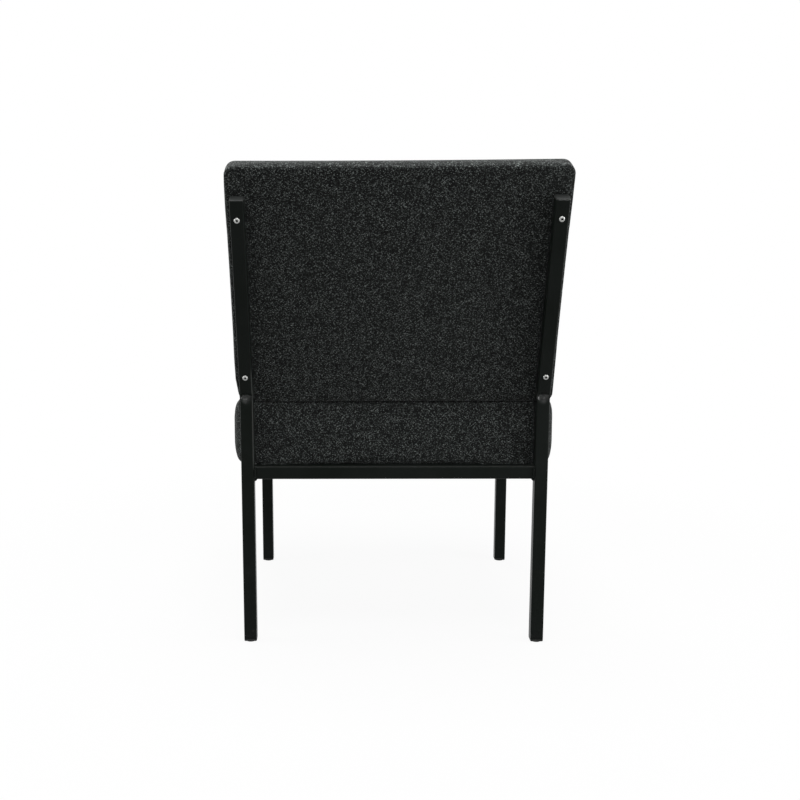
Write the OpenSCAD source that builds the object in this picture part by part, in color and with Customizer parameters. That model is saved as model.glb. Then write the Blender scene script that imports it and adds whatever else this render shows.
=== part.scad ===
// Armless reception chair: a welded frame of square steel tube, a thick seat
// pad and a raked back pad, each a board with foam in a woven cover.
// Millimetres, +Z up. The sitter faces -Y, and the sitter's left is +X.
// The origin is on the floor, under the middle of the whole chair.

/* [Frame] */
// Width over the outer faces of the legs
frame_w = 520; // [440:5:620]
// Depth over the outer faces of the legs
frame_d = 472; // [400:4:560]
// Height of the seat rails' top faces
rail_top = 313; // [285:1:360]
// Side of the square tube
tube = 22; // [20:1:25]
// Wall of the square tube
tube_wall = 1.5; // [1.2:0.1:2]
// Outside corner radius of the square tube
tube_corner = 2.4; // [2.2:0.1:3.5]
// Set-back of the rear rail from the back faces of the legs
rail_setback = 4; // [3:1:6]
// Leg length of each weld bead
weld = 3.5; // [2.5:0.5:5]

/* [Uprights] */
// Height of the bend in the rear legs above the seat pad's top edge
bend_rise = 14; // [12:1:40]
// Lean of the uprights, in degrees
rake = 20; // [14:1:24]
// How far the uprights end short of the back pad's top, along the slope
upright_short = 46; // [30:1:60]
// Radius on the inside of the bend
bend_r = 26; // [20:1:40]
// How much each side of the tube is drawn in at the bend
bend_squeeze = 0.06; // [0.05:0.01:0.2]
// Radius of the press tool that dents the inside of the bend
dent_r = 15; // [12:1:20]
// Depth of the dent
dent = 2.4; // [1:0.2:3]

/* [Back pad] */
// How far the back pad reaches past the uprights at each side
back_side = 10; // [8:1:30]
// Height of the back pad along its slope
back_h = 416; // [340:1:500]
// How far the pad reaches below the bend, along its slope
back_drop = 23; // [15:1:26]
// Thickness of the back pad before its crown
back_t = 54; // [46:1:64]
// Radius of the pad's corners, seen from the front
back_corner = 14; // [12:1:30]
// Radius of the pad's front edges
back_round = 26; // [16:1:30]
// Radius of the pad's back edges
back_rear_round = 6; // [4:1:10]
// Extra thickness at the middle of the front face
back_crown = 9; // [4:1:16]
// How far each edge is drawn in between the corners
back_draw = 2; // [1:0.5:5]

/* [Seat pad] */
// How far the seat pad reaches past the legs at each side
seat_side = 16; // [13:1:40]
// Gap between the seat pad and the rear legs
seat_gap = 2; // [1:0.5:4]
// How far the seat pad reaches past the front legs
seat_overhang = 26; // [20:1:40]
// Thickness of the seat pad before its crown
seat_t = 104; // [90:1:130]
// Extra thickness at the middle of the seat pad
seat_crown = 15; // [6:1:18]
// How far the sides turn in at the pad's bottom edge
seat_tuck = 10; // [6:1:13]
// How far the front and the back turn in at the pad's bottom edge
seat_end_tuck = 1; // [0.5:0.5:4]
// Height over which the sides turn in
seat_tuck_h = 34; // [20:1:40]
// Radius of the pad's corners, seen from above
seat_corner = 34; // [28:1:50]
// Radius of the pad's top edges
seat_round = 18; // [18:1:34]
// How far each side is drawn in between the corners
seat_draw = 3; // [1:0.5:5]

/* [Boards and cloth] */
// Thickness of the plywood boards
board_t = 12; // [10:1:14]
// Thickness of the woven cover
cover_t = 1.6; // [1.2:0.1:2.4]
// Width of the cover's hem under the seat board
hem = 36; // [32:1:44]
// Thickness of the black cloth under the seat
dust_t = 0.6; // [0.5:0.1:1]

/* [Fasteners] */
// Shank diameter of the socket screws
screw_d = 5; // [4:0.5:6]
// Head diameter of the socket screws
head_d = 9.5; // [8.5:0.5:12]
// Head height of the socket screws
head_h = 2.8; // [2.4:0.1:4]
// Width of the hexagon socket across its flats
socket_af = 3.2; // [2.5:0.1:4]
// Depth of the hexagon socket
socket_depth = 1.9; // [1.4:0.1:2]
// Distance along the slope from the bend to the lower back screws
back_screw_low = 40; // [34:1:60]
// Distance along the slope from the back pad's top to the upper back screws
back_screw_high = 78; // [75:1:110]
// Distance from each end of a side rail to its seat screw
seat_screw_inset = 64; // [50:1:110]
// Flange diameter of the tee nuts
tee_flange_d = 17; // [15:1:20]
// Flange thickness of the tee nuts
tee_flange_t = 1.3; // [1:0.1:1.8]
// Barrel diameter of the tee nuts
tee_barrel_d = 7; // [6.8:0.1:8.5]
// Barrel length of the tee nuts
tee_barrel_len = 8; // [6:1:9]

/* [Caps and feet] */
// Thickness of the caps on the uprights
cap_t = 3.5; // [2.5:0.5:5]
// Thickness of the feet's square flange
foot_flange_t = 3.5; // [3:0.5:6]
// Diameter of the round glide under each foot
glide_d = 18; // [14:1:19]
// Height of the round glide under each foot
glide_t = 2; // [1:0.5:3]
// Length of the ribbed plug inside the tube
plug_len = 17; // [12:1:24]
// Number of ribs on each plug
rib_count = 4; // [2:1:5]
// Thickness of one rib
rib_t = 1.2; // [0.8:0.1:1.6]
// Depth of the gaps between the ribs
rib_depth = 1.5; // [1:0.1:2]

/* [Hidden] */
$fn = 48;

// Clearances between the pieces, and the overrun of every cut
lay_gap = 0.3;
plug_gap = 0.1;
hole_gap = 0.3;
thread_gap = 0.05;
board_gap = 2;
overrun = 1;

// Angle by which the bend runs into the straight tube at each end
bend_lap = 1;

// Sections and places of the frame
bore = tube - 2 * tube_wall;
foot_t = foot_flange_t + glide_t;
leg_x = frame_w / 2 - tube / 2;
rail_z = rail_top - tube / 2;
rail_bottom = rail_top - tube;
rail_span = frame_w - 2 * tube;
side_span = frame_d - 2 * tube;

// The bend, and the upright from there to the top of its cap
seat_z = rail_top + lay_gap;
bend_z = seat_z + seat_t + bend_rise;
bend_run = bend_r * tan(rake / 2);
back_top = back_h - back_drop;
upright_len = back_top - upright_short;

// The caps of the uprights reach furthest back, and the seat pad furthest forward
rear_reach = upright_len * sin(rake);
front_reach = frame_d + seat_overhang;
rear_y = (front_reach - rear_reach) / 2;
front_y = rear_y - frame_d;
front_leg_back_y = front_y + tube;
rear_leg_front_y = rear_y - tube;
rear_rail_y = rear_y - rail_setback;

// Seat pad: its size, its middle and its board's underside
seat_w = frame_w + 2 * seat_side;
seat_back_y = rear_leg_front_y - seat_gap;
seat_d = frame_d - tube - seat_gap + seat_overhang;
seat_y = seat_back_y - seat_d / 2;
seat_board_z = seat_z + cover_t + lay_gap;
seat_screw_y = [rear_leg_front_y - seat_screw_inset, front_leg_back_y + seat_screw_inset];

// Back pad: its back face and its board's back face, out from the back faces of
// the uprights, and its middle along the slope
back_w = frame_w + 2 * back_side;
back_face = tube + lay_gap;
back_board_face = back_face + cover_t + lay_gap;
back_mid = back_h / 2 - back_drop;
back_board_inset = cover_t + board_gap;
back_screw_s = [back_screw_low, back_top - back_screw_high];

// A screw ends flush with the far face of its board
screw_len = tube + cover_t + 2 * lay_gap + board_t;

// Steps of the pads' surfaces
corner_steps = 5;
side_steps = 5;
round_steps = 4;
rear_round_steps = 2;
tuck_steps = 3;
crown_steps = 4;
quarter_n = corner_steps + side_steps;
loop_n = 4 * quarter_n;

// Shares that set the pads' corners where an edge is rounded in
least_corner_share = 0.3;

// Square with round corners: two crossed rectangles and four circles
module round_square(side, corner) {
    flat = side - 2 * corner;
    square([flat, side], center = true);
    square([side, flat], center = true);
    for (x = [-1, 1], y = [-1, 1])
        translate([x * flat / 2, y * flat / 2])
            circle(r = corner);
}

// Outline of the tube or of its bore
module tube_outline(side) {
    round_square(side, tube_corner - (tube - side) / 2);
}

// Straight tube that starts at the origin and runs along +Z
module tube_run(length) {
    linear_extrude(length)
        difference() {
            tube_outline(tube);
            tube_outline(bore);
        }
}

// Puts its children on the slope of the back: Z runs up the uprights from the
// bend, and Y is 0 at the uprights' back faces and falls towards the front
module on_slope() {
    translate([0, rear_y, bend_z])
        rotate([-rake, 0, 0])
            children();
}

// A rear leg and its upright as a solid bar, longer by the extra at both ends.
// The bend is drawn down a little, and its ends run into both straights
module bent_bar(side, extra) {
    low = bend_z - bend_run;
    translate([0, rear_y - tube / 2, foot_t - extra])
        linear_extrude(low - foot_t + extra)
            tube_outline(side);
    translate([0, rear_y + bend_r, low])
        rotate([90, 0, -90])
            rotate([0, 0, -bend_lap])
                rotate_extrude(angle = rake + 2 * bend_lap)
                    translate([bend_r + tube / 2, 0])
                        tube_outline(side - 2 * bend_squeeze);
    on_slope()
        translate([0, -tube / 2, bend_run])
            linear_extrude(upright_len - cap_t - bend_run + extra)
                tube_outline(side);
}

// The round tool that presses the dent into the inside of the bend
module dent_tool(radius) {
    translate([0, rear_y, bend_z])
        rotate([-rake / 2, 0, 0])
            translate([0, dent_r - dent, 0])
                rotate([0, 90, 0])
                    cylinder(r = radius, h = tube + 2 * overrun, center = true);
}

// Rear leg: one tube from its foot to its cap, bent above the seat, with holes
// for the back screws
module rear_leg(side) {
    color("#191b1a")
        translate([side * leg_x, 0, 0])
            difference() {
                bent_bar(tube, 0);
                dent_tool(dent_r);
                difference() {
                    bent_bar(bore, overrun);
                    dent_tool(dent_r + tube_wall);
                }
                on_slope()
                    for (s = back_screw_s)
                        translate([0, overrun, s])
                            rotate([90, 0, 0])
                                cylinder(d = screw_d + 2 * hole_gap, h = tube + 2 * overrun);
            }
}

// Front leg: straight tube from its foot to the top of the seat rails
module front_leg(side) {
    color("#191b1a")
        translate([side * leg_x, front_y + tube / 2, foot_t])
            tube_run(rail_top - foot_t);
}

// Side rail between a front leg and a rear leg, with holes for the seat screws
module side_rail(side) {
    color("#191b1a")
        difference() {
            translate([side * leg_x, rear_leg_front_y, rail_z])
                rotate([90, 0, 0])
                    tube_run(side_span);
            for (y = seat_screw_y)
                translate([side * leg_x, y, rail_bottom - overrun])
                    cylinder(d = screw_d + 2 * hole_gap, h = tube + 2 * overrun);
        }
}

// Cross rail between two legs, with its back face at the given depth
module cross_rail(back_y) {
    color("#191b1a")
        translate([-rail_span / 2, back_y - tube / 2, rail_z])
            rotate([0, 90, 0])
                tube_run(rail_span);
}

// Weld bead along +Z: a quarter round that fills the corner of +X and +Y
module bead() {
    linear_extrude(tube - 2 * tube_corner)
        intersection() {
            circle(r = weld);
            square(weld);
        }
}

// Beads where the rails meet the legs: up the corners that face the back, and
// below every rail. The tops are left flush for the seat pad
module weld_beads() {
    color("#1d1f1e")
        for (side = [0, 1])
            mirror([side, 0, 0]) {
                for (back_y = [rear_rail_y, front_leg_back_y]) {
                    translate([-rail_span / 2, back_y, rail_bottom + tube_corner])
                        bead();
                    translate([-rail_span / 2, back_y - tube_corner, rail_bottom])
                        rotate([90, 0, 0])
                            mirror([0, 1, 0])
                                bead();
                }
                for (joint = [[rear_leg_front_y, -90], [front_leg_back_y, 0]])
                    translate([-leg_x, joint[0], rail_bottom])
                        rotate([0, 90, 0])
                            rotate([0, 0, joint[1]])
                                translate([0, 0, tube_corner - tube / 2])
                                    bead();
            }
}

// Plug with ribs that grip the bore of the tube, from the origin down
module ribbed_plug() {
    grip = bore - 2 * plug_gap;
    core = grip - 2 * rib_depth;
    hollow = core - 2 * rib_depth;
    pitch = (plug_len - rib_t) / rib_count;
    translate([0, 0, -plug_len])
        linear_extrude(plug_len)
            difference() {
                square(core, center = true);
                square(hollow, center = true);
            }
    for (i = [0:rib_count - 1])
        translate([0, 0, i * pitch - plug_len])
            linear_extrude(rib_t)
                difference() {
                    round_square(grip, tube_corner - tube_wall);
                    square(hollow, center = true);
                }
}

// Plastic cap in the open top of an upright
module upright_cap(side) {
    color("#232524")
        on_slope()
            translate([side * leg_x, -tube / 2, upright_len - cap_t]) {
                linear_extrude(cap_t)
                    tube_outline(tube);
                ribbed_plug();
            }
}

// Plastic foot in the bottom of a leg: a flange, a round glide and a plug
module foot(side, y) {
    color("#232524")
        translate([side * leg_x, y, foot_t])
            mirror([0, 0, 1]) {
                linear_extrude(foot_flange_t)
                    tube_outline(tube);
                cylinder(d = glide_d, h = foot_t);
                ribbed_plug();
            }
}

// Point k of the loop round a pad of the given size, whose sides are drawn in
// between their corners by a parabola
function loop_point(w, d, corner, draw, k) =
    let (
        quarter = floor(k / quarter_n),
        j = k % quarter_n,
        odd = quarter % 2,
        half_a = (odd == 0 ? w : d) / 2,
        half_b = (odd == 0 ? d : w) / 2,
        turn = 90 * j / corner_steps,
        run = 1 - 2 * (j - corner_steps) / side_steps,
        p = j <= corner_steps
            ? [half_a - corner + corner * cos(turn), half_b - corner + corner * sin(turn)]
            : [(half_a - corner) * run, half_b - draw * (1 - run * run)]
    )
    [
        p[0] * cos(90 * quarter) - p[1] * sin(90 * quarter),
        p[0] * sin(90 * quarter) + p[1] * cos(90 * quarter)
    ];

// The loop of one row. A row is [inset across, inset along, height, shrink share]
function loop_of(w, d, corner, draw, row) =
    let (row_corner = max(corner - row[0], corner * least_corner_share))
    [for (k = [0:loop_n - 1])
        let (p = loop_point(w - 2 * row[0], d - 2 * row[1], row_corner, draw, k))
        [p[0] * row[3], p[1] * row[3], row[2]]];

// Rows round a pad's front or top edge and over its crown, on a surface that
// lies the given offset inside the cover's outer face
function crown_rows(edge, radius, crown, offset) =
    concat(
        [for (i = [0:round_steps])
            let (a = 90 * i / round_steps, inset = radius - (radius - offset) * cos(a))
            [inset, inset, edge - radius + (radius - offset) * sin(a), 1]],
        [for (i = [1:crown_steps - 1])
            let (share = 1 - i / crown_steps)
            [radius, radius, edge - offset + crown * (1 - share * share), share]]
    );

// Rows up the seat pad's side from the given height, where it is tucked in at
// the bottom
function tuck_rows(z0, offset) =
    [for (i = [0:tuck_steps])
        let (a = 90 * i / tuck_steps, tuck = 1 - sin(a))
        [
            offset + seat_tuck * tuck,
            offset + seat_end_tuck * tuck,
            z0 + seat_tuck_h * (1 - cos(a)),
            1
        ]];

// Rows round the back pad's back edge
function rear_edge_rows(offset) =
    let (radius = back_rear_round)
    [for (i = [0:rear_round_steps])
        let (a = 90 * i / rear_round_steps, inset = radius - (radius - offset) * sin(a))
        [inset, inset, radius - (radius - offset) * cos(a), 1]];

// Closed skin over a list of rows, between poles on the axis at two heights
module skin(w, d, corner, draw, first_z, rows, last_z) {
    last = 1 + len(rows) * loop_n;
    points = concat(
        [[0, 0, first_z]],
        [for (row = rows) each loop_of(w, d, corner, draw, row)],
        [[0, 0, last_z]]
    );
    faces = concat(
        [for (k = [0:loop_n - 1]) [0, 1 + k, 1 + (k + 1) % loop_n]],
        [for (r = [0:len(rows) - 2], k = [0:loop_n - 1], half = [0, 1])
            let (a = 1 + r * loop_n + k, b = 1 + r * loop_n + (k + 1) % loop_n)
            half == 0 ? [a, a + loop_n, b] : [b, a + loop_n, b + loop_n]],
        [for (k = [0:loop_n - 1]) [last, last - loop_n + (k + 1) % loop_n, last - loop_n + k]]
    );
    polyhedron(points = points, faces = faces);
}

// Puts its children in the seat pad's own frame: Z is 0 at its underside
module in_seat() {
    translate([0, seat_y, seat_z])
        children();
}

// Puts its children in the back pad's own frame: Z runs from its back face
// towards its front, and Y up its slope
module in_back() {
    on_slope()
        translate([0, -back_face, back_mid])
            rotate([90, 0, 0])
                children();
}

// Puts a copy of its children at each seat screw: Z is 0 below the side rails
// and rises
module at_seat_screws() {
    for (x = [-leg_x, leg_x], y = seat_screw_y)
        translate([x, y, rail_bottom])
            children();
}

// Puts a copy of its children at each back screw: Z is 0 at the uprights' back
// faces and runs towards the front
module at_back_screws() {
    on_slope()
        for (x = [-leg_x, leg_x], s = back_screw_s)
            translate([x, 0, s])
                rotate([90, 0, 0])
                    children();
}

// Drill for the screws, as long as a screw and its overrun
module screw_drill() {
    translate([0, 0, -overrun])
        cylinder(d = screw_d + 2 * hole_gap, h = screw_len + 2 * overrun);
}

// Pocket for a tee nut's barrel in the board
module barrel_pocket() {
    translate([0, 0, screw_len - tee_barrel_len - lay_gap])
        cylinder(d = tee_barrel_d + 2 * plug_gap, h = tee_barrel_len + lay_gap + overrun);
}

// Pocket for a tee nut's flange in the foam
module flange_pocket() {
    translate([0, 0, screw_len])
        cylinder(d = tee_flange_d + 2 * hole_gap, h = tee_flange_t + lay_gap);
}

// Socket screw: its head is outside, at negative Z, and its shank runs along +Z
module socket_screw() {
    translate([0, 0, -head_h])
        difference() {
            cylinder(d = head_d, h = head_h);
            translate([0, 0, -overrun])
                cylinder(d = socket_af / cos(30), h = socket_depth + overrun, $fn = 6);
        }
    cylinder(d = screw_d, h = screw_len);
}

// Tee nut: its flange is on the board's far face, and its barrel is in the board
module tee_nut() {
    difference() {
        union() {
            translate([0, 0, screw_len])
                cylinder(d = tee_flange_d, h = tee_flange_t);
            translate([0, 0, screw_len - tee_barrel_len])
                cylinder(d = tee_barrel_d, h = tee_barrel_len);
        }
        translate([0, 0, screw_len - tee_barrel_len - overrun])
            cylinder(d = screw_d + 2 * thread_gap, h = tee_barrel_len + tee_flange_t + 2 * overrun);
    }
}

// Plywood board with round corners, in a pad's own frame
module board(w, d, corner, z) {
    translate([0, 0, z])
        linear_extrude(board_t) {
            square([w - 2 * corner, d], center = true);
            square([w, d - 2 * corner], center = true);
            for (x = [-1, 1], y = [-1, 1])
                translate([x * (w / 2 - corner), y * (d / 2 - corner)])
                    circle(r = corner);
        }
}

// Seat board, inside the cover's hem
module seat_board() {
    inset = cover_t + board_gap + seat_draw;
    color("#c9a26b")
        difference() {
            in_seat()
                board(seat_w - 2 * (seat_tuck + inset), seat_d - 2 * (seat_end_tuck + inset),
                      seat_corner - seat_tuck, seat_board_z - seat_z);
            at_seat_screws() {
                screw_drill();
                barrel_pocket();
            }
        }
}

// Seat foam, from the board's top face up to the cover
module seat_foam() {
    offset = cover_t + lay_gap;
    base = seat_board_z - seat_z + board_t + lay_gap;
    color("#d8cfae")
        difference() {
            in_seat()
                skin(seat_w, seat_d, seat_corner, seat_draw, base,
                     concat(
                         tuck_rows(base, offset),
                         crown_rows(seat_t, seat_round, seat_crown, offset)
                     ),
                     seat_t + seat_crown - offset);
            at_seat_screws()
                flange_pocket();
        }
}

// Seat cover: a woven skin over the top and the sides, whose hem turns in under
// the board
module seat_cover() {
    color("#2b2d2e")
        difference() {
            in_seat()
                skin(seat_w, seat_d, seat_corner, seat_draw, 0,
                     concat(
                         tuck_rows(0, 0),
                         crown_rows(seat_t, seat_round, seat_crown, 0)
                     ),
                     seat_t + seat_crown);
            in_seat()
                skin(seat_w, seat_d, seat_corner, seat_draw, cover_t,
                     concat(
                         tuck_rows(cover_t, cover_t),
                         crown_rows(seat_t, seat_round, seat_crown, cover_t)
                     ),
                     seat_t + seat_crown - cover_t);
            in_seat()
                translate([0, 0, -overrun])
                    linear_extrude(cover_t + 2 * overrun)
                        square([seat_w - 2 * (seat_tuck + cover_t + hem),
                                seat_d - 2 * (seat_end_tuck + cover_t + hem)], center = true);
            at_seat_screws()
                screw_drill();
        }
}

// Black cloth under the seat, inside the rails, that laps over the cover's hem
module seat_dust_cover() {
    back_y = min(rear_rail_y - tube, seat_back_y - seat_end_tuck) - board_gap;
    front_edge_y = front_leg_back_y + board_gap;
    color("#151616")
        translate([0, (back_y + front_edge_y) / 2, seat_z - lay_gap - dust_t])
            linear_extrude(dust_t)
                square([rail_span - 2 * board_gap, back_y - front_edge_y], center = true);
}

module seat_tee_nuts() {
    color("#b9bcbc")
        at_seat_screws()
            tee_nut();
}

module seat_screws() {
    color("#c8cac8")
        at_seat_screws()
            socket_screw();
}

// Back board, just inside the cover's back face
module back_board() {
    inset = back_board_inset + back_draw;
    color("#c9a26b")
        difference() {
            in_back()
                board(back_w - 2 * inset, back_h - 2 * inset,
                      back_corner - back_board_inset, back_board_face - back_face);
            at_back_screws() {
                screw_drill();
                barrel_pocket();
            }
        }
}

// Back foam, from the board's front face to the cover
module back_foam() {
    offset = cover_t + lay_gap;
    base = back_board_face - back_face + board_t + lay_gap;
    color("#d8cfae")
        difference() {
            in_back()
                skin(back_w, back_h, back_corner, back_draw, base,
                     concat(
                         [[offset, offset, base, 1]],
                         crown_rows(back_t, back_round, back_crown, offset)
                     ),
                     back_t + back_crown - offset);
            at_back_screws()
                flange_pocket();
        }
}

// Back cover: a woven slip cover that is closed all round but for the screws
module back_cover() {
    color("#2b2d2e")
        difference() {
            in_back()
                skin(back_w, back_h, back_corner, back_draw, 0,
                     concat(rear_edge_rows(0), crown_rows(back_t, back_round, back_crown, 0)),
                     back_t + back_crown);
            in_back()
                skin(back_w, back_h, back_corner, back_draw, cover_t,
                     concat(rear_edge_rows(cover_t), crown_rows(back_t, back_round, back_crown, cover_t)),
                     back_t + back_crown - cover_t);
            at_back_screws()
                screw_drill();
        }
}

module back_tee_nuts() {
    color("#b9bcbc")
        at_back_screws()
            tee_nut();
}

module back_screws() {
    color("#c8cac8")
        at_back_screws()
            socket_screw();
}

rear_leg(1);  // rear_leg_left
rear_leg(-1);  // rear_leg_right
front_leg(1);  // front_leg_left
front_leg(-1);  // front_leg_right
side_rail(1);  // side_rail_left
side_rail(-1);  // side_rail_right
cross_rail(front_leg_back_y);  // front_rail
cross_rail(rear_rail_y);  // rear_rail
weld_beads();
upright_cap(1);  // upright_cap_left
upright_cap(-1);  // upright_cap_right
foot(1, rear_y - tube / 2);  // rear_foot_left
foot(-1, rear_y - tube / 2);  // rear_foot_right
foot(1, front_y + tube / 2);  // front_foot_left
foot(-1, front_y + tube / 2);  // front_foot_right
seat_board();
seat_foam();
seat_cover();
seat_dust_cover();
seat_tee_nuts();
seat_screws();
back_board();
back_foam();
back_cover();
back_tee_nuts();
back_screws();
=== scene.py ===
"""An armless reception chair: a black square-tube frame that carries a thick
seat pad and a raked back pad in charcoal cloth. Metres, +Z up, front at -Y."""
import math

import bpy
import numpy as np
from mathutils import Matrix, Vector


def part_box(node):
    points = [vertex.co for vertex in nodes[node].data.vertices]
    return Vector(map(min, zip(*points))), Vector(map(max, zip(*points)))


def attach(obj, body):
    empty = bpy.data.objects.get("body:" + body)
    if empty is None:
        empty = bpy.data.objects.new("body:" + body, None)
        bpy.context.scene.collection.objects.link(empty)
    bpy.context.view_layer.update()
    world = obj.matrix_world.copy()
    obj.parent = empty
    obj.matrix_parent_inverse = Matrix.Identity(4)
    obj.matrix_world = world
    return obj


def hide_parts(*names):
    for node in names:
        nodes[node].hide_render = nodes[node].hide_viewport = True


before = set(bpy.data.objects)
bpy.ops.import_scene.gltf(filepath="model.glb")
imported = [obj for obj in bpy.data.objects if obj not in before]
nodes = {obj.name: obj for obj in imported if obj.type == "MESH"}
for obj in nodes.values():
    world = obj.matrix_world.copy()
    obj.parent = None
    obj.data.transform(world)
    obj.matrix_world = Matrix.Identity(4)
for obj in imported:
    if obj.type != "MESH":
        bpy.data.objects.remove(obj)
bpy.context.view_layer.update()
mm = 0.001


# The camera stands behind the chair at table height, a little to the sitter's
# left, and looks slightly down on it. The picture was cropped off its middle.
camera_lens = 48.47
camera_shift = (0.0927, -0.0071)
camera_place = (85.2 * mm, 1972.4 * mm, 732.6 * mm)
camera_turn, camera_dip, camera_roll = -0.97, 9.37, -0.3

camera_data = bpy.data.cameras.new("camera")
camera_data.lens = camera_lens
camera_data.sensor_width = 36
camera_data.shift_x, camera_data.shift_y = camera_shift
camera = bpy.data.objects.new("camera", camera_data)
bpy.context.collection.objects.link(camera)
camera.matrix_world = (
    Matrix.Translation(camera_place)
    @ Matrix.Rotation(math.radians(180 - camera_turn), 4, "Z")
    @ Matrix.Rotation(math.radians(90 - camera_dip), 4, "X")
    @ Matrix.Rotation(math.radians(camera_roll), 4, "Z")
)
bpy.context.scene.camera = camera


# The studio: a pale floor that runs off into white, under a faint white sky, with
# soft boxes overhead, at both sides, in front and above the camera.
class Wire:
    """An output socket of a shader node, on which sums and products add Math nodes."""

    def __init__(self, finish, socket):
        self.finish = finish
        self.socket = socket

    def maths(self, operation, *values):
        return self.finish.add("Math", {"operation": operation}, dict(enumerate(values)))

    def apply(self, operation):
        """A function of this value alone, such as its cosine."""
        return self.maths(operation, self)

    def __add__(self, other):
        return self.maths("ADD", self, other)

    __radd__ = __add__

    def __mul__(self, other):
        return self.maths("MULTIPLY", self, other)

    __rmul__ = __mul__

    def __sub__(self, other):
        return self.maths("SUBTRACT", self, other)

    def __rsub__(self, other):
        return self.maths("SUBTRACT", other, self)

    def __truediv__(self, other):
        return self.maths("DIVIDE", self, other)

    def __pow__(self, other):
        return self.maths("POWER", self, other)

    def __mod__(self, other):
        return self.maths("FLOORED_MODULO", self, other)

    def __gt__(self, other):
        return self.maths("GREATER_THAN", self, other)

    def __lt__(self, other):
        return self.maths("LESS_THAN", self, other)


class Finish:
    """A material, or the world. All of its nodes come from one method, add."""

    def __init__(self, owner):
        self.owner = owner
        owner.use_nodes = True
        self.tree = owner.node_tree
        self.tree.nodes.clear()

    def add(self, kind, settings=None, values=None, out=0):
        """A node with its settings, then its sockets' values or links. Gives the
        wire from one of its outputs."""
        node = self.tree.nodes.new("ShaderNode" + kind)
        for name, setting in (settings or {}).items():
            setattr(node, name, setting)
        for name, value in (values or {}).items():
            if isinstance(value, Wire):
                self.tree.links.new(value.socket, node.inputs[name])
            else:
                node.inputs[name].default_value = value
        return None if out is None else Wire(self, node.outputs[out])

    def mix(self, share, first, second):
        """The first colour at a share of 0, and the second at 1."""
        return self.add("Mix", {"data_type": "RGBA"}, {0: share, 6: first, 7: second}, out=2)

    def between(self, value, low, high):
        """0 below low, 1 above high, and a smooth step from one to the other."""
        return self.add("MapRange", {"interpolation_type": "SMOOTHSTEP"},
                        {0: value, 1: low, 2: high, 3: 0.0, 4: 1.0})

    def noise(self, place, scale, detail=2.0, roughness=0.5):
        """Soft random patches from 0 to 1, as many to the metre as the scale says."""
        return self.add("TexNoise", {}, {"Vector": place, "Scale": scale, "Detail": detail,
                                         "Roughness": roughness})

    def place(self):
        """Where the surface is, in metres from the origin on the floor."""
        return self.add("TexCoord", out=3)

    def part(self, vector, axis):
        """A vector's coordinate along axis 0, 1 or 2."""
        return self.add("SeparateXYZ", {}, {0: vector}, out=axis)

    def marked(self, name):
        """The share that each point of the mesh carries under a name."""
        return self.add("Attribute", {"attribute_name": name}, out=2)

    def bump(self, height, strength, distance):
        """A normal tilted by a height, of which 1 stands for the distance."""
        return self.add("Bump", {}, {"Strength": strength, "Distance": distance,
                                     "Height": height})

    def seen(self):
        """1 to the camera, in gloss and through glass, and 0 as a source of light."""
        camera_ray, glossy_ray, passing_ray = (
            self.add("LightPath", out=name)
            for name in ("Is Camera Ray", "Is Glossy Ray", "Is Transmission Ray"))
        return camera_ray + glossy_ray + passing_ray

    def end(self, shader, kind="Material"):
        """Joins the shader to the output, and gives the finished material or world."""
        self.add("Output" + kind, {}, {"Surface": shader}, out=None)
        return self.owner


white, floor_colour = (1, 1, 1, 1), (0.42, 0.42, 0.42, 1)
floor_half, floor_lines = 12.0, 24
floor_shown, floor_fade = 0.93, (0.55, 1.3)
sky_light = 0.3


def grid_faces(rows, columns, wrap=False):
    """Quads between neighbours on a grid of rows by columns, also from the last
    column back to the first where the grid wraps."""
    r, c = np.meshgrid(np.arange(rows - 1), np.arange(columns if wrap else columns - 1),
                       indexing="ij")
    here = r * columns + c
    beside = r * columns + (c + 1) % columns
    return np.stack([here, beside, beside + columns, here + columns], -1).reshape(-1, 4)


def make_piece(name, points, faces, material):
    """A smooth mesh object at the origin, from arrays of points and faces."""
    mesh = bpy.data.meshes.new(name)
    mesh.from_pydata(points.reshape(-1, 3).tolist(), [], [list(face) for face in faces])
    mesh.polygons.foreach_set("use_smooth", np.ones(len(mesh.polygons), bool))
    mesh.materials.append(material)
    mesh.update()
    piece = bpy.data.objects.new(name, mesh)
    bpy.context.collection.objects.link(piece)
    return piece


pale = Finish(bpy.data.materials.new("studio_floor"))
from_middle = pale.add("VectorMath", {"operation": "LENGTH"}, {0: pale.place()}, out=1)
whitened = floor_shown + pale.between(from_middle, *floor_fade) * (1 - floor_shown)
paint = pale.add("BsdfDiffuse", {}, {"Color": floor_colour})
glow = pale.add("Emission", {}, {"Color": white, "Strength": 1.0})
pale.end(pale.add("MixShader", {}, {0: pale.seen() * whitened, 1: paint, 2: glow}))

lines = np.linspace(-floor_half, floor_half, floor_lines)
across, along = np.meshgrid(lines, lines)
floor = make_piece("studio_floor", np.stack([across, along, 0 * across], -1),
                   grid_faces(floor_lines, floor_lines), pale.owner)

sky = Finish(bpy.data.worlds.new("studio"))
bpy.context.scene.world = sky.owner
sky_strength = sky.seen() * (1 - sky_light) + sky_light
sky.end(sky.add("Background", {}, {"Color": white, "Strength": sky_strength}), "World")


def look_frame(away):
    """Three unit axes, of which the third points along the given direction."""
    third = away / np.linalg.norm(away)
    first = np.cross((0, 1, 0) if abs(third[2]) > 0.9 else (0, 0, 1), third)
    first = first / np.linalg.norm(first)
    return np.array([first, np.cross(third, first), third])


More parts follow.
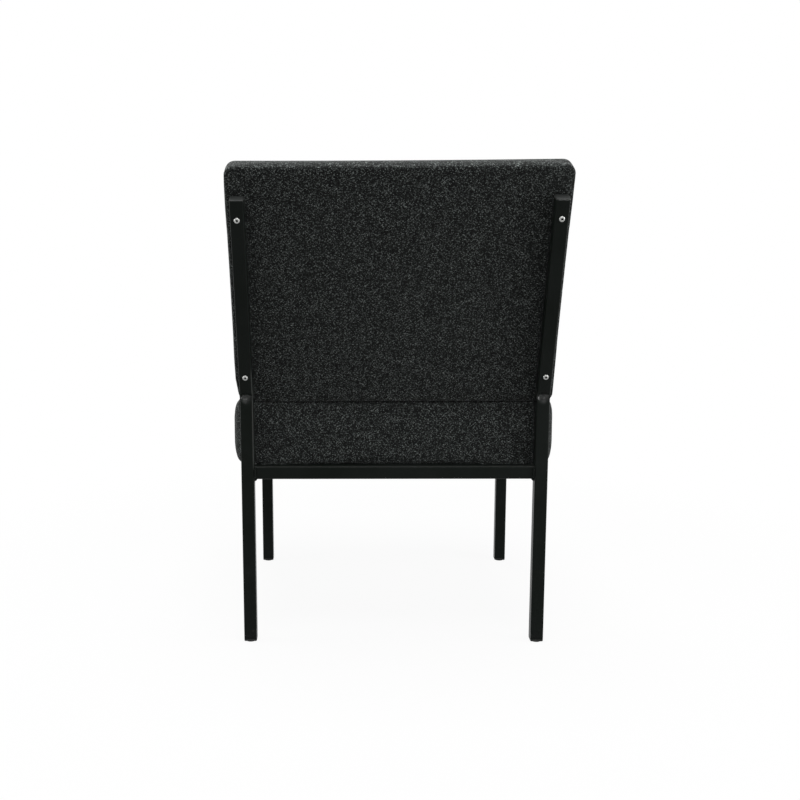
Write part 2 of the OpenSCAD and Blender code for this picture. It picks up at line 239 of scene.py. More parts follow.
def soft_box(name, place, target, width, height, power):
    """An area lamp that faces its target, with its power in watts."""
    lamp = bpy.data.lights.new(name, "AREA")
    lamp.energy = power
    lamp.shape = "RECTANGLE"
    lamp.size, lamp.size_y = width, height
    holder = bpy.data.objects.new(name, lamp)
    bpy.context.collection.objects.link(holder)
    axes = look_frame(np.array(place) - np.array(target)).T
    holder.matrix_world = Matrix.Translation(place) @ Matrix(axes.tolist()).to_4x4()


soft_box("overhead", (0.0, 0.5, 2.5), (0.0, 0.1, 0.5), 1.5, 1.5, 97)
soft_box("above_camera", (-0.4, 2.2, 1.65), (0.0, 0.1, 0.5), 1.5, 0.9, 7)
soft_box("left_side", (2.3, 0.1, 0.9), (0.0, 0.0, 0.5), 1.2, 1.4, 42)
soft_box("right_side", (-2.1, 0.7, 0.9), (0.0, 0.1, 0.5), 1.2, 1.4, 46)
soft_box("front_fill", (0.9, -2.4, 1.9), (0.0, 0.0, 0.5), 1.5, 1.5, 30)

bpy.context.scene.view_settings.view_transform = "Standard"


# The frame's tubes: 22 mm square steel, bent, welded and powder coated in satin black.
# Its skin has a fine orange peel, a little dust low down, and painted highlights.
tube_side, tube_corner, tube_wall = 22 * mm, 2.4 * mm, 1.5 * mm


def corners(node):
    """A node's lowest and highest corners as arrays."""
    return [np.array(corner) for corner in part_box(node)]


leg_low, leg_high = corners("rear_leg_left")
front_leg_low, front_leg_high = corners("front_leg_left")
leg_x = (leg_low[0] + leg_high[0]) / 2
inner_x = leg_x - tube_side / 2
rear_y = leg_low[1] + tube_side
front_y = front_leg_low[1]
rail_top = front_leg_high[2]
rail_back = corners("rear_rail")[1][1]

coat_black, coat_cloud = (0.0036, 0.0050, 0.0039, 1), (0.0058, 0.0072, 0.0064, 1)
# Grey for dust, which also paints a highlight on the rear rail's top edge; a paler grey for a
# painted highlight down one corner of the left rear leg.
dust_and_highlight_grey, corner_highlight_grey = (0.04, 0.04, 0.038, 1), (0.030, 0.032, 0.030, 1)
# Grey for the tubes' cut ends: bare worn edges, with a painted highlight in it.
cut_and_highlight_grey = (0.13, 0.135, 0.13, 1)
scuffed_height = 160 * mm
# The heights and depths of a painted highlight along the rear rail's top rear edge.
rail_highlight_top = (rail_top - 1.2 * mm, rail_top - 0.4 * mm)
rail_highlight_rear = (rail_back - 9 * mm, rail_back - 1 * mm)


def powder_coat():
    """Near-black with broad cloudy patches, dust in the scuffs near the floor, and a
    painted highlight along the rear rail's top edge. Attributes mark the rest: the
    tubes' cut ends, paler as bare worn edges with a painted highlight; a corner of
    the left rear leg with a painted highlight; and the polished skin of the dents."""
    coat = Finish(bpy.data.materials.new("powder_coat_black"))
    place = coat.place()
    across, back, height = (coat.part(place, axis) for axis in range(3))
    cloud = coat.noise(place, 9.0, 4.0, 0.6)
    fleck = coat.noise(place, 900.0)
    scuff = coat.noise(place, 60.0, 5.0, 0.7)
    rim, dent, painted_corner_highlight = (coat.marked(name) for name in ("rim", "dent", "painted_corner_highlight"))
    painted_rail_highlight = ((across.apply("ABSOLUTE") < inner_x)
               * coat.between(height, *rail_highlight_top) * coat.between(back, *rail_highlight_rear))
    low = 1 - coat.between(height, 0.0, scuffed_height)
    dust = coat.between(scuff, 0.56, 0.74) * (low * 0.7 + 0.12)
    base = coat.mix(coat.between(cloud, 0.3, 0.7), coat_black, coat_cloud)
    # Dust in the scuffs, and a painted highlight along the rear rail's top edge.
    dusty_and_highlit = coat.mix(dust * 0.3 + painted_rail_highlight * 0.3, base, dust_and_highlight_grey)
    # A painted highlight down the left rear leg's inner corner beside the pads, in patches.
    corner_highlit = coat.mix(painted_corner_highlight * (0.5 + scuff * 0.7), dusty_and_highlit, corner_highlight_grey)
    # The tubes' cut ends, paler in patches: bare worn edges with a painted highlight.
    colour = coat.mix(rim * coat.between(scuff, 0.4, 0.6), corner_highlit, cut_and_highlight_grey)
    rough = 0.26 + cloud * 0.08 + dust * 0.25
    peel = coat.noise(place, 420.0) * 0.7 + fleck * 0.3
    shader = coat.add("BsdfPrincipled", {}, {
        "Base Color": colour, "Roughness": rough, "Specular IOR Level": 0.045,
        "Normal": coat.bump(peel, 0.15, 0.2 * mm),
        "Coat Weight": dent * coat.between(scuff, 0.25, 0.6), "Coat Roughness": 0.2})
    return coat.end(shader)


def refinish(material, *names):
    """Gives a material to nodes that keep their CAD shape."""
    for name in names:
        nodes[name].data.materials.clear()
        nodes[name].data.materials.append(material)


frame_black = powder_coat()
refinish(frame_black, "front_leg_left", "front_leg_right", "side_rail_left",
         "side_rail_right", "front_rail", "rear_rail")


# The rear legs: each is one tube from its foot to its cap. A press bent it over a
# round tool above the seat, which crushed a dent into the back of the bend.
bend_radius, rake = 26 * mm, math.radians(20)
foot_height, cap_height, cap_flange = 5.5 * mm, 3.5 * mm, 1.6 * mm
upright_tube = (leg_high[1] - rear_y) / math.sin(rake)
upright_length = upright_tube + cap_height
bend_z = leg_high[2] - upright_tube * math.cos(rake) - tube_side * math.sin(rake)
dent_depth = 5.6 * mm
dent_low, dent_deep, dent_high = -9 * mm, 11 * mm, 20 * mm
dent_margin, edge_lag, wall_swell = 4 * mm, 9 * mm, 0.05
fold_depth, fold_turns, fold_start = 0.12, 7, 1.2
straight_rows, dent_rows = 24, 96
rim_width = 0.9 * mm
# Where a painted highlight runs down the left rear leg's inner corner, beside the pads.
corner_highlight_middle, corner_highlight_reach, corner_highlight_width = 398 * mm, 78 * mm, 0.72 * tube_corner
sides = (("left", 1), ("right", -1))


def square_ring(side, corner, arc=6, flat=10):
    """A round-cornered square as a closed ring of points, counted from the +X
    side: each quarter is an arc about a corner's centre, then a flat side."""
    turn = np.linspace(0, math.pi / 2, arc)
    run = np.linspace(1, -1, flat + 2)[1:-1]
    half = side / 2 - corner
    quarter = np.concatenate([
        np.stack([half + corner * np.cos(turn), half + corner * np.sin(turn)], -1),
        np.stack([half * run, np.full(flat, side / 2)], -1)])
    ring = []
    for quarters in range(4):
        a = quarters * math.pi / 2
        ring.append(quarter @ np.array([[math.cos(a), math.sin(a)],
                                        [-math.sin(a), math.cos(a)]]))
    return np.concatenate(ring)


def bent_tube(x, inside=0.0):
    """A ring carried up a straight, round an arc behind the leg and up a leaning
    straight. The back wall sinks into a bowl: a cosine hump along the tube, which
    rises slowly from below and falls fast above, times a cosine fold and a power
    curve across it. The side walls swell as the wall gives way. The bore is the
    same surface a wall's thickness inside. The share by which each point has sunk
    comes second."""
    half = tube_side / 2
    middle_radius = bend_radius + half
    run = bend_radius * math.tan(rake / 2)
    arc = middle_radius * rake
    low = bend_z - run
    end = arc + upright_length - cap_flange - run
    s = np.concatenate([
        np.linspace(foot_height - low, dent_low - dent_margin, straight_rows)[:-1],
        np.linspace(dent_low - dent_margin, dent_high + dent_margin, dent_rows),
        np.linspace(dent_high + dent_margin, end - rim_width, straight_rows)[1:], [end]])
    turn = np.clip(s / arc, 0, 1) * rake
    past = np.maximum(s - arc, 0)
    centre_y = rear_y + bend_radius - middle_radius * np.cos(turn) + past * math.sin(rake)
    centre_z = low + np.minimum(s, 0) + middle_radius * np.sin(turn) + past * math.cos(rake)
    ring = square_ring(tube_side, tube_corner)
    across = np.tile(ring[:, 0], (len(s), 1))
    back = np.tile(ring[:, 1], (len(s), 1))
    width = np.clip(np.abs(across) / half, 0, 1)
    from_deep = s[:, None] - dent_deep
    reach = np.where(from_deep < 0, from_deep / (dent_deep - dent_low - edge_lag * width ** 2),
                     from_deep / (dent_high - dent_deep))
    hump = np.cos(np.clip(reach, -1, 1) * math.pi / 2) ** 2
    fold = 1 + fold_depth * np.cos(across / half * fold_turns + fold_start) * hump
    sunk = hump * fold * (1 - width ** 3) * np.clip(back / half, 0, 1) ** 3
    swell = hump * np.clip(back / half + 0.4, 0, 1) * width ** 6
    back = (back - dent_depth * sunk) * (1 - inside / half)
    across = across * (1 + wall_swell * swell) * (1 - inside / half)
    return np.stack([
        x + across,
        centre_y[:, None] + back * np.cos(turn)[:, None],
        centre_z[:, None] - back * np.sin(turn)[:, None]], -1), np.clip(sunk, 0, 1)


def closed_faces(rows, columns):
    """The faces of a grid that wraps both ways."""
    return grid_faces(rows + 1, columns, wrap=True) % (rows * columns)


def mark(piece, name, shares):
    """Makes each point of a piece carry its share under a name."""
    layer = piece.data.attributes.new(name, "FLOAT", "POINT")
    layer.data.foreach_set("value", shares.ravel())


across, back = square_ring(tube_side, tube_corner).T
inner_corner = np.minimum(-across, back) > tube_side / 2 - corner_highlight_width
for side, sign in sides:
    outer, sunk = bent_tube(sign * leg_x)
    bore, _ = bent_tube(sign * leg_x, tube_wall)
    points = np.concatenate([outer, bore[::-1]])
    leg = make_piece("rear_leg_" + side + "_tube", points, closed_faces(*points.shape[:2]),
                     frame_black)
    # The top rows of tube and bore mark the cut end, paler with wear and a painted highlight.
    rim = np.zeros(points.shape[:2])
    rim[[len(outer) - 1, len(outer)]] = 1
    beside_pads = np.abs(points[..., 2] - corner_highlight_middle) < corner_highlight_reach
    mark(leg, "rim", rim)
    mark(leg, "dent", np.concatenate([sunk, 0 * sunk]))
    # Only the left leg's inner corner carries the painted highlight.
    mark(leg, "painted_corner_highlight", (inner_corner & beside_pads & (side == "left")).astype(float))
    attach(leg, "root")
    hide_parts("rear_leg_" + side)


# The welds: a short run of ripples at each end of every rail, laid in the corner
# against the leg and coated over with the frame.
weld_leg, weld_length = 4.4 * mm, tube_side - 2 * tube_corner
weld_rows, weld_columns, weld_taper = 60, 12, 9
ripple_pitch, ripple_bow = 1.6 * mm, 0.9 * mm
ripple_low, ripple_swell = 0.9, 0.09


def weld_run(start, forward, first, second):
    """A quarter round along a corner. Its radius swells with each ripple, whose
    crest leans forward in the middle, and falls to nothing at both ends."""
    along = np.linspace(0, 1, weld_rows)[:, None]
    turn = np.linspace(0, math.pi / 2, weld_columns)[None, :]
    phase = (along * weld_length - ripple_bow * np.sin(2 * turn)) / ripple_pitch * 2 * math.pi
    taper = np.clip(np.minimum(along, 1 - along) * weld_taper, 0, 1) ** 0.5
    radius = weld_leg * (ripple_low + ripple_swell * np.cos(phase)) * taper
    ahead = along * weld_length + 0 * turn
    return (np.array(start) + ahead[..., None] * np.array(forward)
            + (radius * np.cos(turn))[..., None] * np.array(first)
            + (radius * np.sin(turn))[..., None] * np.array(second))


def repeated(faces, points_each, count):
    """One form's faces, again for each of its copies."""
    return np.concatenate([faces + i * points_each for i in range(count)])


rail_low = rail_top - tube_side
front_leg_back = front_y + tube_side
runs = []
for sign in (1, -1):
    inward, up, back, down = (-sign, 0, 0), (0, 0, 1), (0, 1, 0), (0, 0, -1)
    for weld_y in (rail_back, front_leg_back):
        runs.append(weld_run((sign * inner_x, weld_y, rail_low + tube_corner),
                             up, inward, back))
        runs.append(weld_run((sign * inner_x, weld_y - tube_side + tube_corner, rail_low),
                             back, inward, down))
    for leg_face, towards in ((rear_y - tube_side, (0, -1, 0)), (front_leg_back, (0, 1, 0))):
        runs.append(weld_run((sign * leg_x - weld_length / 2, leg_face, rail_low),
                             (1, 0, 0), towards, down))
faces = repeated(grid_faces(weld_rows, weld_columns), weld_rows * weld_columns, len(runs))
welds = make_piece("weld_runs", np.stack(runs), faces, frame_black)
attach(welds, "root")
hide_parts("weld_beads")


# The caps and feet: black polypropylene inserts. Each has a flange as wide as the
# tube and a ribbed plug that is pushed into it. A foot stands on a round glide.
plastic_colour, worn_grey = (0.007, 0.008, 0.0075, 1), (0.07, 0.068, 0.064, 1)
worn_height = 10 * mm


def moulded_plastic():
    """Black with a fine grain, and worn grey in patches next to the floor."""
    plastic = Finish(bpy.data.materials.new("moulded_black"))
    place = plastic.place()
    grain = plastic.noise(place, 1500.0)
    cloud = plastic.noise(place, 40.0, 3.0)
    low = 1 - plastic.between(plastic.part(place, 2), 0.0, worn_height)
    worn = plastic.between(plastic.noise(place, 240.0, 4.0, 0.7), 0.45, 0.7) * low
    shader = plastic.add("BsdfPrincipled", {}, {
        "Base Color": plastic.mix(worn * 0.6, plastic_colour, worn_grey),
        "Roughness": 0.5 + cloud * 0.15, "Normal": plastic.bump(grain, 0.3, 0.1 * mm),
        "Specular IOR Level": 0.2})
    return plastic.end(shader)


plastic_black = moulded_plastic()
plug_play = 0.2 * mm
plug_side = tube_side - 2 * tube_wall - plug_play
plug_length, rib_count, rib_height, rib_depth = 17 * mm, 4, 1.2 * mm, 1.5 * mm


def square_loft(levels):
    """Round-cornered squares of the given side, corner and height, one above the
    other, each end shut by shrinking its last square to a point."""
    point = (0.001 * mm, 0.0004 * mm)
    levels = [(*point, levels[0][2])] + levels + [(*point, levels[-1][2])]
    flat = np.stack([square_ring(side, corner) for side, corner, _ in levels])
    heights = np.array([height for _, _, height in levels])[:, None, None]
    return np.concatenate([flat, heights + 0 * flat[..., :1]], -1)


def plug_levels():
    """The plug from its tip up to the flange: a core that steps out to each rib."""
    core = plug_side - 2 * rib_depth
    pitch = (plug_length - rib_height) / rib_count
    levels = []
    for i in range(rib_count):
        z = i * pitch - plug_length
        levels += [(plug_side - 0.6 * mm, 1.2 * mm, z), (plug_side, 0.9 * mm, z + 0.4 * mm),
                   (plug_side, 0.9 * mm, z + rib_height), (core, 0.5 * mm, z + rib_height),
                   (core, 0.5 * mm, z + pitch)]
    return levels


cap_levels = plug_levels() + [
    (tube_side - 0.5 * mm, tube_corner, 0.02 * mm),
    (tube_side - 0.2 * mm, tube_corner, 0.3 * mm),
    (tube_side - 0.2 * mm, tube_corner, cap_flange - 0.9 * mm),
    (tube_side - 0.6 * mm, tube_corner, cap_flange - 0.4 * mm),
    (tube_side - 2.0 * mm, tube_corner, cap_flange - 0.12 * mm),
    (tube_side - 6 * mm, tube_corner, cap_flange - 0.03 * mm),
    (tube_side - 14 * mm, tube_corner, cap_flange)]
foot_levels = plug_levels() + [
    (tube_side - 0.5 * mm, tube_corner, 0.02 * mm),
    (tube_side - 0.2 * mm, tube_corner, 0.3 * mm),
    (tube_side - 0.2 * mm, tube_corner, 2.7 * mm),
    (tube_side - 1.0 * mm, tube_corner, 3.4 * mm),
    (18 * mm, 8.9 * mm, 3.6 * mm),
    (18 * mm, 8.9 * mm, 5.0 * mm),
    (17 * mm, 8.4 * mm, 5.4 * mm),
    (15 * mm, 7.4 * mm, 5.5 * mm),
    (6 * mm, 2.9 * mm, 5.5 * mm)]


def lean(points, origin, turn):
    """Local points tipped back by an angle about the X axis, then moved."""
    x, y, z = points[..., 0], points[..., 1], points[..., 2]
    return np.stack([
        origin[0] + x,
        origin[1] + y * math.cos(turn) + z * math.sin(turn),
        origin[2] - y * math.sin(turn) + z * math.cos(turn)], -1)


loft = square_loft(cap_levels)
for side, sign in sides:
    tube_end = lean(np.array([0, -tube_side / 2, upright_length - cap_flange]),
                    (sign * leg_x, rear_y, bend_z), rake)
    cap = make_piece("upright_cap_" + side + "_insert", lean(loft, tube_end, rake),
                     grid_faces(*loft.shape[:2], wrap=True), plastic_black)
    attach(cap, "root")
    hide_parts("upright_cap_" + side)

loft = square_loft(foot_levels)
for end, y in (("rear", rear_y - tube_side / 2), ("front", front_y + tube_side / 2)):
    for side, sign in sides:
        points = lean(loft, (sign * leg_x, y, foot_height), math.pi)
        foot = make_piece(end + "_foot_" + side + "_insert", points,
                          grid_faces(*loft.shape[:2], wrap=True), plastic_black)
        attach(foot, "root")
        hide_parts(end + "_foot_" + side)


# The screws: zinc-plated button heads with a hexagon socket. Two in each upright
# hold the back pad, and two in each side rail hold the seat pad from below.
zinc_dull, zinc_clean = (0.28, 0.28, 0.27, 1), (0.42, 0.43, 0.42, 1)
# Painted shade for the inside of the sockets.
socket_shade = (0.012, 0.012, 0.012, 1)


def zinc_plate():
    """Bright plate with faint clouds, and painted shade in the marked sockets."""
    zinc = Finish(bpy.data.materials.new("zinc_plate"))
    place = zinc.place()
    cloud = zinc.noise(place, 300.0, 3.0)
    colour = zinc.mix(zinc.marked("painted_socket_shade"), zinc.mix(cloud, zinc_dull, zinc_clean), socket_shade)
    shader = zinc.add("BsdfPrincipled", {}, {
        "Base Color": colour, "Metallic": 1.0, "Roughness": 0.34 + cloud * 0.16,
        "Normal": zinc.bump(zinc.noise(place, 2400.0), 0.15, 0.05 * mm)})
    return zinc.end(shader)


zinc_bright = zinc_plate()
screw_shank, screw_head, head_height = 2.5 * mm, 4.6 * mm, 2.8 * mm
dome_reach, dome_base, dome_steps = 0.42, 0.35, 9
socket_half, socket_depth, socket_rows = 1.8 * mm, 1.9 * mm, 4
cover_thickness, board_thickness, lay_gap = 1.6 * mm, 12 * mm, 0.3 * mm
screw_length = tube_side + cover_thickness + 2 * lay_gap + board_thickness


def turned(profile):
    """A profile of radius, height and hexagon share, turned about Z. The share
    pulls the radius from a circle towards a hexagon of that half width."""
    radius, height, share = (np.array(column)[:, None] for column in zip(*profile))
    turn = np.linspace(0, 2 * math.pi, 96, endpoint=False)
    hexagon = 1 / np.cos((turn % (math.pi / 3)) - math.pi / 6)
    reach = radius * (1 + share * (hexagon - 1))
    return np.stack([reach * np.cos(turn), reach * np.sin(turn), height + 0 * turn], -1)


dome = [(screw_head * (dome_reach * math.cos(a) + 1 - dome_reach),
         -head_height * (dome_base + (1 - dome_base) * math.sin(a)), 0)
        for a in np.linspace(0, math.pi / 2, dome_steps)]
screw_profile = [
    (1e-6, socket_depth - head_height + 0.5 * mm, 0),
    (socket_half * 0.9, socket_depth - head_height, 1),
    (socket_half, socket_depth - head_height - 0.15 * mm, 1),
    (socket_half, -head_height + 0.25 * mm, 1),
    (socket_half + 0.02 * mm, -head_height + 0.15 * mm, 1),
    (socket_half + 0.25 * mm, -head_height, 0.5),
] + dome[::-1] + [
    (screw_head, -0.2 * mm, 0), (screw_head - 0.2 * mm, 0, 0), (screw_shank, 0, 0),
    (screw_shank, screw_length - 0.6 * mm, 0), (screw_shank - 0.5 * mm, screw_length, 0),
    (1e-6, screw_length, 0)]
screw = turned(screw_profile)


def screw_set(name, places, turn, node):
    """One mesh of several screws, each tipped about the X axis and moved to its
    place, which stands for the node. An attribute marks the sockets' painted shade."""
    points = np.stack([lean(screw, place, turn) for place in places])
    count, rows, columns = points.shape[:3]
    faces = repeated(grid_faces(rows, columns, wrap=True), rows * columns, count)
    piece = make_piece(name, points, faces[:, ::-1], zinc_bright)
    painted_socket_shade = np.zeros((count, rows, columns))
    # Painted shade on the socket rows of each screw.
    painted_socket_shade[:, :socket_rows] = 1
    mark(piece, "painted_socket_shade", painted_socket_shade)
    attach(piece, "root")
    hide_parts(node)


back_screw_low, back_screw_high = 40 * mm, 315 * mm
places = [lean(np.array([0, 0, up]), (sign * leg_x, rear_y, bend_z), rake)
          for _, sign in sides for up in (back_screw_low, back_screw_high)]
screw_set("back_screw_set", places, rake - math.pi / 2, "back_screws")

seat_screw_inset = 64 * mm
places = [(sign * leg_x, y, rail_low) for _, sign in sides
          for y in (rear_y - tube_side - seat_screw_inset, front_leg_back + seat_screw_inset)]
screw_set("seat_screw_set", places, 0.0, "seat_screws")
refinish(zinc_bright, "seat_tee_nuts", "back_tee_nuts")


# The boards and the foam are hidden in the pads: birch plywood with its plies
# showing at the edges, and cream polyurethane foam with fine open cells.
birch_dark, birch_pale = (0.42, 0.27, 0.13, 1), (0.62, 0.45, 0.26, 1)
glue_line, ply_thickness = (0.25, 0.15, 0.07, 1), 1.7 * mm
foam_deep, foam_cream = (0.62, 0.54, 0.34, 1), (0.72, 0.66, 0.47, 1)


def plywood():
    """Grain that runs front to back, and every other ply a little darker."""
    wood = Finish(bpy.data.materials.new("birch_plywood"))
    place = wood.place()
    stretched = wood.add("VectorMath", {"operation": "MULTIPLY"},
                         {0: place, 1: (60.0, 4.0, 60.0)})
    grain = wood.noise(stretched, 3.0, 5.0, 0.6)
    pores = wood.noise(stretched, 22.0, 3.0)
    darker = (wood.part(place, 2) / ply_thickness) % 2 > 1.0
    face = wood.mix(wood.between(grain, 0.3, 0.7), birch_dark, birch_pale)
    shader = wood.add("BsdfPrincipled", {}, {
        "Base Color": wood.mix(darker * 0.18, face, glue_line),
        "Roughness": 0.6 + grain * 0.15, "Normal": wood.bump(pores, 0.3, 0.2 * mm)})
    return wood.end(shader)


def open_foam():
    """Cream with soft clouds, dimpled by its cells."""
    foam = Finish(bpy.data.materials.new("cream_foam"))
    place = foam.place()
    cells = foam.add("TexVoronoi", {"feature": "F1"}, {"Vector": place, "Scale": 900.0})
    cloud = foam.noise(place, 14.0)
    shader = foam.add("BsdfPrincipled", {}, {
        "Base Color": foam.mix(cloud, foam_deep, foam_cream),
        "Roughness": 0.85 + cloud * 0.1, "Normal": foam.bump(cells, 0.6, 0.6 * mm)})
    return foam.end(shader)


birch, cream_foam = plywood(), open_foam()
refinish(birch, "seat_board", "back_board")
refinish(cream_foam, "seat_foam", "back_foam")


# The seat pad: charcoal cloth pulled over thick foam and turned in under the
# board. The foam presses it out between the corners and, between the rear legs,
# a little way over the rear rail. The legs press it flat.
yarn, soft_square = 1.3 * mm, 3.25 * mm
warp_dark, warp_pale = (0.0009, 0.0011, 0.0010, 1), (0.0073, 0.0085, 0.0080, 1)
weft_dark, weft_pale = (0.0105, 0.0123, 0.0115, 1), (0.1820, 0.2000, 0.1930, 1)
# The second colour here is painted shade along the edges of each yarn.
dulled_black, painted_gap_shade = (0.005, 0.0058, 0.0055, 1), (0.004, 0.0045, 0.0043, 1)
shade_power, missed_share = 2.4, 0.3


def charcoal_weave():
    """A plain weave of dark warp and grey weft on UVs in metres, in which some
    crossings are missed. Each float has its own shade, and is a round ridge with
    painted shade towards the gaps beside it. Soft squares of two or three yarns alternate in
    tone."""
    cloth = Finish(bpy.data.materials.new("charcoal_weave"))
    uv = cloth.add("UVMap", {"uv_map": "cloth"})
    wander = cloth.add("TexNoise", {}, {"Vector": uv, "Scale": 60.0, "Detail": 3.0}, out=1)
    pushed = cloth.add("VectorMath", {"operation": "MULTIPLY_ADD"},
                       {0: wander, 1: (3 * mm, 3 * mm, 0.0), 2: uv})
    u, v = cloth.part(pushed, 0) / yarn, cloth.part(pushed, 1) / yarn
    warp, weft = u.apply("FLOOR"), v.apply("FLOOR")

    def chance(warp_shift, weft_shift):
        """A number from 0 to 1 for each crossing, another for each pair of shifts."""
        crossing = cloth.add("CombineXYZ", {}, {0: warp + warp_shift, 1: weft + weft_shift})
        return cloth.add("TexWhiteNoise", {"noise_dimensions": "2D"}, {"Vector": crossing})

    shade = chance(0.0, 0.0) ** shade_power
    missed = chance(311.0, 173.0) < missed_share
    warp_up = (warp + weft + missed) % 2.0 < 0.5
    across = (u.apply("FRACT") - 0.5) * math.pi
    along = (v.apply("FRACT") - 0.5) * math.pi
    lift = warp_up * across.apply("COSINE") + (1 - warp_up) * along.apply("COSINE")
    coarse = yarn / soft_square * math.pi
    coarse_u, coarse_v = u * coarse, v * coarse
    squares = cloth.between(coarse_u.apply("COSINE") * coarse_v.apply("COSINE"), -0.35, 0.35)
    cloud = cloth.noise(uv, 60.0, 4.0, 0.75)
    fibre = cloth.noise(uv, 3200.0)
    yarns = cloth.mix(warp_up, cloth.mix(shade, weft_dark, weft_pale),
                      cloth.mix(shade, warp_dark, warp_pale))
    dulled = cloth.between(cloud, 0.30, 0.72) * 0.4 + squares * 0.42
    toned = cloth.mix(dulled, yarns, dulled_black)
    height = lift * 0.8 + fibre * 0.2
    shader = cloth.add("BsdfPrincipled", {}, {
        # Painted shade darkens each float towards its edges, where it meets the next yarn.
        "Base Color": cloth.mix(cloth.between(lift, 0.05, 0.75), painted_gap_shade, toned),
        "Roughness": 0.88 + shade * 0.1, "Normal": cloth.bump(height, 0.6, 0.5 * mm),
        "Specular IOR Level": 0.08, "Sheen Weight": 0.06, "Sheen Roughness": 0.4})
    return cloth.end(shader)


def pad_loop(width, depth, corner, draw, count=48):
    """The outline of a pad, counted from the +X side: a round corner, then a side
    that is drawn in by a parabola, four times. Width, depth, corner and draw may
    be columns, for one outline in each row."""
    turn = np.linspace(0, math.pi / 2, count // 4, endpoint=False)
    run = np.linspace(1, -1, count, endpoint=False)
    loop = []
    for quarter in range(4):
        a, b = (width / 2, depth / 2) if quarter % 2 == 0 else (depth / 2, width / 2)
        x = np.concatenate([a - corner + corner * np.cos(turn), (a - corner) * run], -1)
        y = np.concatenate([b - corner + corner * np.sin(turn), b - draw * (1 - run ** 2)], -1)
        angle = quarter * math.pi / 2
        loop.append(np.stack([x * math.cos(angle) - y * math.sin(angle),
                              x * math.sin(angle) + y * math.cos(angle)], -1))
    return np.concatenate(loop, -2)


pole_share = 0.02


def crowned_rows(edge, radius, tall, crown, skin):
    """Rows of inset in X and Y, height and shrink share: round a pad's top edge, a
    quarter of an ellipse, and over its crown, a parabola of the share."""
    turn = np.linspace(0, math.pi / 2, 12)
    inset = radius - (radius - skin) * np.cos(turn)
    share = np.linspace(1, pole_share, 34)[1:]
    return np.concatenate([
        np.stack([inset, inset, edge - tall + (tall - skin) * np.sin(turn), 1 + 0 * turn], -1),
        np.stack([radius + 0 * share, radius + 0 * share,
                  edge - skin + crown * (1 - share ** 2), share], -1)])


def pad_surface(width, depth, corner, draw, rows):
    """The outline of each row, shrunk by its share towards the middle, with a pole
    at each end. A corner tightens with the inset, down to 0.3 of its radius."""
    in_x, in_y, height, share = (rows[:, i:i + 1] for i in range(4))
    tight = np.maximum(corner - in_x, corner * 0.3)
    loop = pad_loop(width - 2 * in_x, depth - 2 * in_y, tight, draw) * share[..., None]
    points = np.concatenate([loop, np.broadcast_to(height[..., None], loop.shape[:2] + (1,))], -1)
    ends = [np.array([[0, 0, row[2]]]) for row in (rows[0], rows[-1])]
    count = points.shape[1]
    faces = grid_faces(points.shape[0], count, wrap=True) + 1
    ring = np.arange(count)
    last = points.shape[0] * count + 1
    bottom = np.stack([0 * ring, 1 + (ring + 1) % count, 1 + ring], -1)
    top = np.stack([last + 0 * ring, last - count + ring, last - count + (ring + 1) % count], -1)
    return (np.concatenate([ends[0], points.reshape(-1, 3), ends[1]]),
            [*faces.tolist(), *bottom.tolist(), *top.tolist()])


cloth_pressure, cloth_frames = 1.6, 20


def apply_modifiers(pad):
    """Bakes a piece's modifiers into its mesh."""
    graph = bpy.context.evaluated_depsgraph_get()
    baked = bpy.data.meshes.new_from_object(pad.evaluated_get(graph), depsgraph=graph)
    pad.modifiers.clear()
    pad.data = baked


def vertex_places(pad):
    """The places of a mesh's vertices as an array."""
    places = np.empty(len(pad.data.vertices) * 3)
    pad.data.vertices.foreach_get("co", places)
    return places.reshape(-1, 3)


def swell(pad, voxel, cap, held):
    """Remeshes a pad evenly, puts the new points back on its surface, and lets its
    cloth swell under pressure. A point that is held stays, and no other moves in,
    out by more than the cap, or along by more than half of it. Gives the points
    after and before."""
    form = bpy.data.objects.new("form", pad.data)
    bpy.context.collection.objects.link(form)
    pad.data = pad.data.copy()
    remesh = pad.modifiers.new("remesh", "REMESH")
    remesh.mode = "VOXEL"
    remesh.voxel_size = voxel
    wrap = pad.modifiers.new("wrap", "SHRINKWRAP")
    wrap.target = form
    apply_modifiers(pad)
    bpy.data.objects.remove(form)
    rest = vertex_places(pad)
    normals = np.empty(rest.size)
    pad.data.vertices.foreach_get("normal", normals)
    normals = normals.reshape(-1, 3)
    group = pad.vertex_groups.new(name="held")
    group.add(np.nonzero(held(rest))[0].tolist(), 1.0, "REPLACE")
    cloth = pad.modifiers.new("cloth", "CLOTH")
    cloth.settings.quality = 6
    cloth.settings.mass = 0.25
    cloth.settings.tension_stiffness = 12
    cloth.settings.compression_stiffness = 12
    cloth.settings.shear_stiffness = 5
    cloth.settings.bending_stiffness = 0.6
    cloth.settings.vertex_group_mass = "held"
    cloth.settings.use_pressure = True
    cloth.settings.uniform_pressure_force = cloth_pressure
    cloth.settings.effector_weights.gravity = 0
    cloth.collision_settings.use_collision = False
    cloth.point_cache.frame_end = cloth_frames
    for step in range(1, cloth_frames + 1):
        bpy.context.scene.frame_set(step)
    apply_modifiers(pad)
    bpy.context.scene.frame_set(1)
    moved = vertex_places(pad) - rest
    out = np.sum(moved * normals, -1, keepdims=True)
    slide = moved - out * normals
    length = np.linalg.norm(slide, axis=-1, keepdims=True)
    slide = slide * np.minimum(1, cap * 0.5 / np.maximum(length, 1e-9))
    out = np.maximum(cap * (1 - np.exp(-np.maximum(out, 0) / cap)), 0)
    return rest + normals * out + slide, rest


